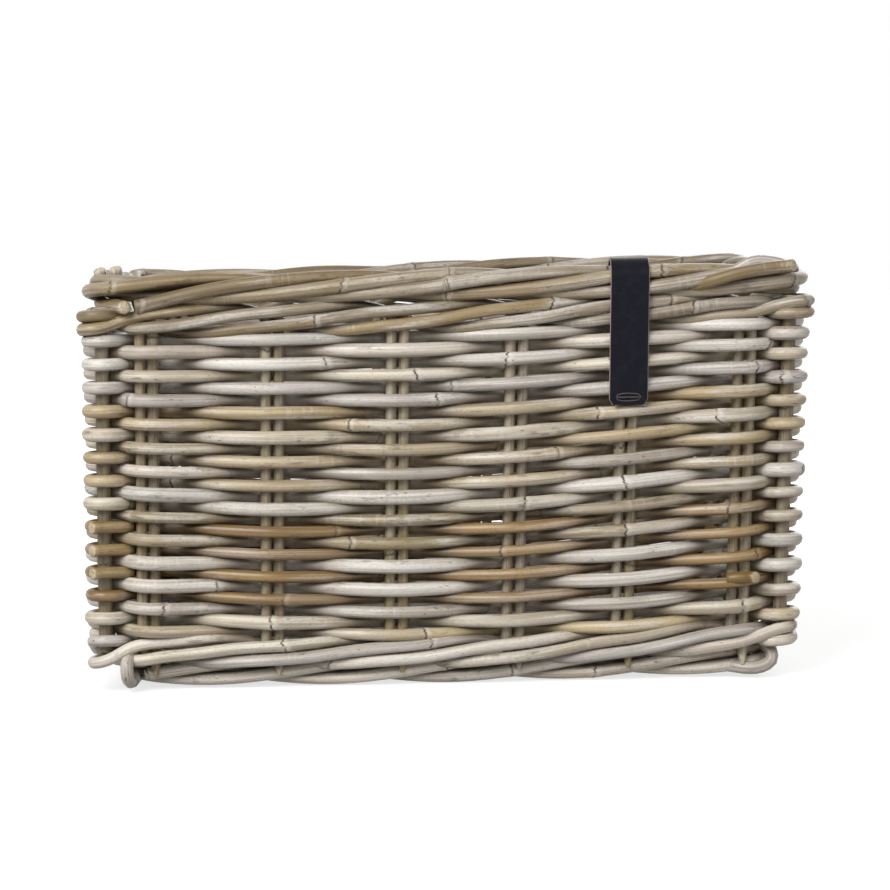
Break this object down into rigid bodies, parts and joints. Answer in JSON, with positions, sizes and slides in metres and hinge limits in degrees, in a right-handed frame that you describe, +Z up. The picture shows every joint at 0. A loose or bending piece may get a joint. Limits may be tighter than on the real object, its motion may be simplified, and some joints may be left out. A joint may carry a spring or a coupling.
{
  "type": "bicycle basket",
  "caption": "Rectangular woven rattan basket with leaning walls, rolled rim and foot borders, open top and a blank leather label.",
  "frame": {"origin": "on the floor, under the middle of the whole basket", "axes": "+X along the long front wall to the right, +Y from the front wall to the back wall, +Z up towards the open mouth"},
  "size_m": [0.4692, 0.362, 0.2736],
  "materials": {
    "rattan_weaver": "grey-washed round rattan, satin",
    "rattan_brown": "brown round rattan, satin",
    "rattan_stake": "tan-olive round rattan, satin",
    "rattan_border": "tan-olive round rattan, satin",
    "label_leather": "black leather with raw edges",
    "label_thread": "dark waxed thread"
  },
  "bodies": {
    "root": {"corner_post_front_left": "rattan_stake", "corner_post_front_right": "rattan_stake", "corner_post_back_right": "rattan_stake", "corner_post_back_left": "rattan_stake", "stake_pair_front_1": "rattan_stake", "stake_pair_front_2": "rattan_stake", "stake_pair_front_3": "rattan_stake", "stake_pair_front_4": "rattan_stake", "stake_pair_front_5": "rattan_stake", "stake_pair_front_6": "rattan_stake", "stake_pair_right_1": "rattan_stake", "stake_pair_right_2": "rattan_stake", "stake_pair_right_3": "rattan_stake", "stake_pair_right_4": "rattan_stake", "stake_pair_back_1": "rattan_stake", "stake_pair_back_2": "rattan_stake", "stake_pair_back_3": "rattan_stake", "stake_pair_back_4": "rattan_stake", "stake_pair_back_5": "rattan_stake", "stake_pair_back_6": "rattan_stake", "stake_pair_left_1": "rattan_stake", "stake_pair_left_2": "rattan_stake", "stake_pair_left_3": "rattan_stake", "stake_pair_left_4": "rattan_stake", "weaver_short_1": "rattan_weaver", "weaver_short_2": "rattan_weaver", "weaver_short_3": "rattan_weaver", "weaver_short_4": "rattan_weaver", "weaver_short_5": "rattan_weaver", "weaver_short_6": "rattan_weaver", "weaver_short_7": "rattan_weaver", "weaver_long_1": "rattan_weaver", "weaver_long_2": "rattan_brown", "weaver_long_3": "rattan_weaver", "weaver_long_4": "rattan_weaver", "weaver_long_5": "rattan_weaver", "weaver_long_6": "rattan_weaver", "bottom_wale_rod_1": "rattan_weaver", "bottom_wale_rod_2": "rattan_weaver", "bottom_wale_rod_3": "rattan_weaver", "top_wale_rod_1": "rattan_weaver", "top_wale_rod_2": "rattan_weaver", "top_wale_rod_3": "rattan_weaver", "rim_border_rod_1": "rattan_border", "rim_border_rod_2": "rattan_border", "rim_border_rod_3": "rattan_border", "rim_border_rod_4": "rattan_border", "foot_border_rod_1": "rattan_border", "foot_border_rod_2": "rattan_border", "foot_border_rod_3": "rattan_border", "base_stick_1": "rattan_stake", "base_stick_2": "rattan_stake", "base_stick_3": "rattan_stake", "base_stick_4": "rattan_stake", "base_stick_5": "rattan_stake", "base_weaver_1": "rattan_weaver", "base_weaver_2": "rattan_weaver", "label_strap": "label_leather", "label_thread": "label_thread"}
  },
  "joints": []
}
